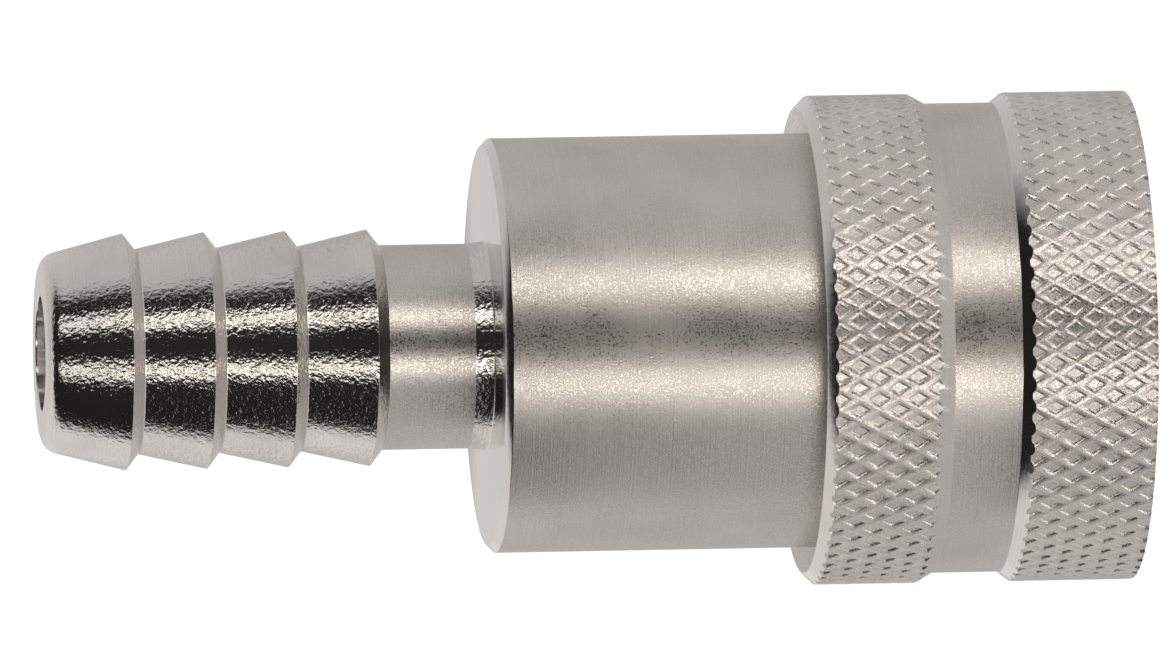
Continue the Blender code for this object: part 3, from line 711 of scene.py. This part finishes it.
sleeve_blank = turned("sleeve_blank", [
    (mouth, recess_r, 0.15 * mm, 1),
    (mouth, knurl_r, 0.10 * mm, 0),
    (groove_front + front_slope, knurl_r, 0.03 * mm, 2),
    (groove_front, groove_r, 0.08 * mm, 1),
    (groove_rear, groove_r, 0.08 * mm, 1),
    (groove_rear - rear_slope, knurl_r, 0.03 * mm, 0),
    (sleeve_rear + rear_edge, knurl_r, 0.03 * mm, 2),
    (sleeve_rear, knurl_r - rear_edge, 0.05 * mm, 2),
    (sleeve_rear, skirt_r + countersink, 0.05 * mm, 1),
    (sleeve_rear + countersink, skirt_r, 0.1 * mm, 1),
    (land_end, skirt_r, 0.1 * mm, 1),
    (land_end, land_r, 0.1 * mm, 1),
    (cone_end, land_r, 0.3 * mm, 1),
    (shoulder, shoulder_r, 0.08 * mm, 1),
    (shoulder, recess_r, 0.1 * mm, 1),
], [knurl, satin, faced], segments=2 * pits_round)


def knurl_tree():
    """Geometry nodes that press rows of diamond pits into a turned blank: first a broad shallow one
    whose slopes leave rounded ridges, then a small deep one."""
    tree, given = grow_tree("diamond knurl", Radius="Float", Pit_Pitch="Float", First_Row="Float",
                            Rows="Int", Pits_Round="Int", Material="Material")
    around = given["Pits Round"]
    pit_width = calc(tree, "DIVIDE", calc(tree, "MULTIPLY", given["Radius"], math.tau), around)
    half_pitch = calc(tree, "MULTIPLY", given["Pit Pitch"], 0.5)
    index = add_node(tree, "GeometryNodeInputIndex").outputs[0]
    row = calc(tree, "FLOOR", calc(tree, "DIVIDE", calc(tree, "ADD", index, 0.5), around))
    column = calc(tree, "SUBTRACT", index, calc(tree, "MULTIPLY", row, around))
    half_step = calc(tree, "MULTIPLY", calc(tree, "MODULO", row, 2.0), 0.5)
    turn = calc(tree, "DIVIDE", calc(tree, "ADD", column, half_step), around)
    angle = calc(tree, "MULTIPLY", turn, math.tau)
    place = add_node(tree, "ShaderNodeCombineXYZ", {
        "X": calc(tree, "ADD", given["First Row"], calc(tree, "MULTIPLY", row, half_pitch)),
        "Y": calc(tree, "MULTIPLY", given["Radius"], calc(tree, "COSINE", angle)),
        "Z": calc(tree, "MULTIPLY", given["Radius"], calc(tree, "SINE", angle)),
    }).outputs[0]
    points = add_node(tree, "GeometryNodePoints", {
        "Count": calc(tree, "MULTIPLY", given["Rows"], around), "Position": place}).outputs[0]
    spin = add_node(tree, "ShaderNodeCombineXYZ", {"X": calc(tree, "SUBTRACT", angle, math.pi / 2)})
    size = add_node(tree, "ShaderNodeCombineXYZ", {
        "X": half_pitch, "Y": calc(tree, "MULTIPLY", pit_width, 0.5), "Z": 1.0}).outputs[0]
    shape = given["Geometry"]
    over = 0.03 * mm
    # share of the diamond at the surface, share at the floor, depth
    for wide, narrow, deep in ((0.965, 0.60, 0.052 * mm), (0.70, 0.42, 0.17 * mm)):
        slope = (wide - narrow) / deep
        press = add_node(tree, "GeometryNodeMeshCone", {
            "Vertices": 4, "Radius Top": wide + slope * over, "Radius Bottom": narrow, "Depth": deep + over,
        }, fill_type="NGON").outputs["Mesh"]
        press = add_node(tree, "GeometryNodeTransform", {
            "Geometry": press, "Translation": (0.0, 0.0, -deep), "Scale": size}).outputs[0]
        pits = add_node(tree, "GeometryNodeInstanceOnPoints", {
            "Points": points, "Instance": press, "Rotation": spin.outputs[0]}).outputs[0]
        shape = pressed(tree, shape, grow_end(tree, pits, given["Material"]))
    knurled = add_node(tree, "GeometryNodeMaterialSelection", {"Material": given["Material"]}).outputs[0]
    shape = grow_end(tree, shape, given["Material"], knurled)
    tree.links.new(shape, add_node(tree, "NodeGroupOutput").inputs[0])
    return tree


sleeve = grown(sleeve_blank, knurl_tree(), {
    "Radius": knurl_r, "Pit Pitch": pit_pitch, "First Row": first_row,
    "Rows": int((mouth - sleeve_rear) / pit_pitch * 2) + 1, "Pits Round": pits_round, "Material": knurl,
}, "sleeve_knurled")
stand_for(sleeve, "sleeve", "nickel_plate", "sleeve")

# Stop ring: a split ring bent from flat spring steel and snapped into the nose's groove, with its
# mouth at the bottom. The sleeve's shoulder rests behind it.
ring_x = mouth - 4.55 * mm
ring_thickness = 0.9 * mm
ring_corner = 0.12 * mm
ring_inner_r = nose_r - 0.8 * mm
ring_outer_r = shoulder_r + 0.46 * mm
ring_mouth = 24.0 / 360.0
bottom = -0.25
tree, given = grow_tree("split ring", Place="Float", Mean_Radius="Float", Height="Float",
                        Thickness="Float", Mouth="Float", Material="Material")
ring_points = 121
index = add_node(tree, "GeometryNodeInputIndex").outputs[0]
turn_left = calc(tree, "SUBTRACT", 1.0, given["Mouth"])
first = calc(tree, "ADD", calc(tree, "MULTIPLY", given["Mouth"], 0.5), bottom)
share = calc(tree, "DIVIDE", index, ring_points - 1.0)
turn = calc(tree, "ADD", first, calc(tree, "MULTIPLY", share, turn_left))
strip = add_node(tree, "GeometryNodeCurvePrimitiveQuadrilateral", {
    "Width": given["Thickness"], "Height": given["Height"]}).outputs[0]
strip = add_node(tree, "GeometryNodeFilletCurve", {
    "Curve": strip, "Radius": ring_corner, "Count": 3}, mode="POLY").outputs[0]
wound(tree, ring_points, turn, given["Place"], given["Mean Radius"], strip, given["Material"])
stop_ring = grown(bare_object("stop_ring"), tree, {
    "Place": ring_x, "Mean Radius": (ring_inner_r + ring_outer_r) / 2,
    "Height": ring_outer_r - ring_inner_r, "Thickness": ring_thickness, "Mouth": ring_mouth,
    "Material": spring_steel}, "stop_ring_bent")
stand_for(stop_ring, "socket", "spring_steel", "sleeve_stop_ring")

# Floor, light and camera: a pale floor under a plain studio. Its light comes from two long soft
# strips, above and below the lens, with the rest dark in front and pale behind.
floor_mesh = bpy.data.meshes.new("floor")
half_floor = 3.0
floor_gap = 0.2 * mm
floor_z = -knurl_r - floor_gap
floor_mesh.from_pydata([(-half_floor, -half_floor, floor_z), (half_floor, -half_floor, floor_z),
                        (half_floor, half_floor, floor_z), (-half_floor, half_floor, floor_z)],
                       [], [(0, 1, 2, 3)])
floor = bpy.data.objects.new("floor", floor_mesh)
bpy.context.scene.collection.objects.link(floor)
paper, tree, shader, place = new_material("floor paper")
shader.inputs["Roughness"].default_value = 0.9
shader.inputs["Emission Strength"].default_value = 0.93
shader.inputs["Emission Color"].default_value = (1.0, 1.0, 1.0, 1.0)
tree.links.new(tint(tree, grain(tree, place, 3 * mm), (0.26, 0.26, 0.26), (0.29, 0.29, 0.29)),
               shader.inputs["Base Color"])
floor_mesh.materials.append(paper)
floor.visible_glossy = False

world = bpy.data.worlds.new("studio")
bpy.context.scene.world = world
world.use_nodes = True
tree = world.node_tree
yaw = math.radians(6.4)
rise = math.radians(8.8)
direction = add_node(tree, "ShaderNodeTexCoord").outputs["Generated"]
way = add_node(tree, "ShaderNodeSeparateXYZ", {0: direction}).outputs
# degrees round the X axis: 0 in front, 90 above, 180 behind
level = calc(tree, "ARCTAN2", way["Z"], calc(tree, "MULTIPLY", way["Y"], -1.0))
degrees = calc(tree, "DEGREES", calc(tree, "SUBTRACT", level, rise))
wrapped = calc(tree, "WRAP", degrees, 180.0, -180.0)


def ramp(tree, value, stops):
    """A colour along a value from -180 to 180 degrees."""
    made = add_node(tree, "ShaderNodeValToRGB", {0: span(tree, value, -180.0, 180.0)})
    made.color_ramp.interpolation = "LINEAR"
    elements = made.color_ramp.elements
    while len(elements) > 1:
        elements.remove(elements[-1])
    for i, (degree, colour) in enumerate(stops):
        element = elements[0] if i == 0 else elements.new((degree + 180.0) / 360.0)
        element.position = (degree + 180.0) / 360.0
        element.color = (*colour, 1.0)
    return made.outputs["Color"]


def between(tree, factor, first, second):
    """A colour that goes from one colour socket to another."""
    made = add_node(tree, "ShaderNodeMix", {"Factor": factor}, data_type="RGBA")
    for key, colour in (("A", first), ("B", second)):
        if isinstance(colour, bpy.types.NodeSocket):
            tree.links.new(colour, made.inputs[key])
        else:
            made.inputs[key].default_value = (*colour, 1.0)
    return made.outputs["Result"]


pale = (0.88, 0.85, 0.84)
plain = (0.70, 0.68, 0.67)
above = (0.66, 0.64, 0.63)
grey = (0.64, 0.635, 0.63)
dim = (0.020, 0.018, 0.017)
slate = (0.035, 0.040, 0.048)
soft = (0.60, 0.58, 0.565)
low = (0.60, 0.58, 0.57)
high = (0.56, 0.545, 0.535)
# the studio as the slim tail shows it, then as the barrel and the sleeve do
tail_surround = ramp(tree, wrapped, [
    (-180, plain), (-165, pale), (-100, pale), (-92, dim), (-60, dim), (-20, (0.03, 0.028, 0.026)),
    (40, dim), (62, dim), (74, grey), (104, grey), (118, above), (180, plain)])
body_surround = ramp(tree, wrapped, [
    (-180, soft), (-96, soft), (-80, low), (-30, low), (-12, slate), (22, slate),
    (42, high), (100, high), (150, (0.48, 0.465, 0.455)), (180, soft)])
surround = between(tree, span(tree, way["X"], -0.06, 0.03), tail_surround, body_surround)
# a dark card in front of the tail's end, and an evenly grey room on the mouth's side
near_side = span(tree, calc(tree, "ABSOLUTE", wrapped), 110.0, 80.0)
tail_side = span(tree, way["X"], -0.45, -0.60)
mouth_side = span(tree, way["X"], 0.45, 0.65)
surround = between(tree, calc(tree, "MULTIPLY", tail_side, near_side), surround, dim)
surround = between(tree, mouth_side, surround, (0.62, 0.60, 0.59))
# the two strips, warmer and stronger on the barrel's side
strips = ramp(tree, wrapped, [
    (-27, (0, 0, 0)), (-25, (1, 1, 1)), (-18, (1, 1, 1)), (-16, (0, 0, 0)),
    (28, (0, 0, 0)), (30, (1, 1, 1)), (37, (1, 1, 1)), (39, (0, 0, 0))])
side = calc(tree, "ABSOLUTE", way["X"])
reach = span(tree, side, 0.75, 0.6)
glow = add_node(tree, "ShaderNodeMix", {"Factor": 1.0}, data_type="RGBA", blend_type="MULTIPLY")
tree.links.new(strips, glow.inputs["A"])
barrel_side = span(tree, way["X"], -0.20, -0.02)
warmth = between(tree, barrel_side, (1.0, 0.97, 0.93), (1.0, 0.905, 0.81))
tree.links.new(warmth, glow.inputs["B"])
strip_power = span(tree, barrel_side, 0.0, 1.0, 1.9, 3.9)
around = add_node(tree, "ShaderNodeBackground", {"Color": surround, "Strength": 1.0})
strip = add_node(tree, "ShaderNodeBackground", {"Color": glow.outputs["Result"],
                                                "Strength": calc(tree, "MULTIPLY", reach, strip_power)})
both = add_node(tree, "ShaderNodeAddShader", {0: around.outputs[0], 1: strip.outputs[0]})
white = add_node(tree, "ShaderNodeBackground", {"Color": (1.0, 1.0, 1.0, 1.0), "Strength": 1.0})
seen = add_node(tree, "ShaderNodeLightPath").outputs["Is Camera Ray"]
shown = add_node(tree, "ShaderNodeMixShader", {0: seen, 1: both.outputs[0], 2: white.outputs[0]})
tree.links.new(shown.outputs[0], tree.nodes["World Output"].inputs["Surface"])
bpy.context.scene.view_settings.view_transform = "Standard"

# A long lens, a little above the axis and towards the tail's side
distance = 1.65
camera_data = bpy.data.cameras.new("camera")
camera_data.sensor_width = 36.0
camera_data.lens = 825.0
camera_data.clip_start = 0.1
camera_data.clip_end = 20.0
camera = bpy.data.objects.new("camera", camera_data)
bpy.context.scene.collection.objects.link(camera)
back = Vector((-math.sin(yaw) * math.cos(rise), -math.cos(yaw) * math.cos(rise), math.sin(rise)))
camera.rotation_euler = back.to_track_quat("Z", "Y").to_euler()
upward = camera.rotation_euler.to_matrix() @ Vector((0.0, 1.0, 0.0))
aim_up = 1.16 * mm
aim_along = 0.17 * mm
camera.location = back * distance + upward * aim_up + Vector((aim_along, 0.0, 0.0))
bpy.context.scene.camera = camera
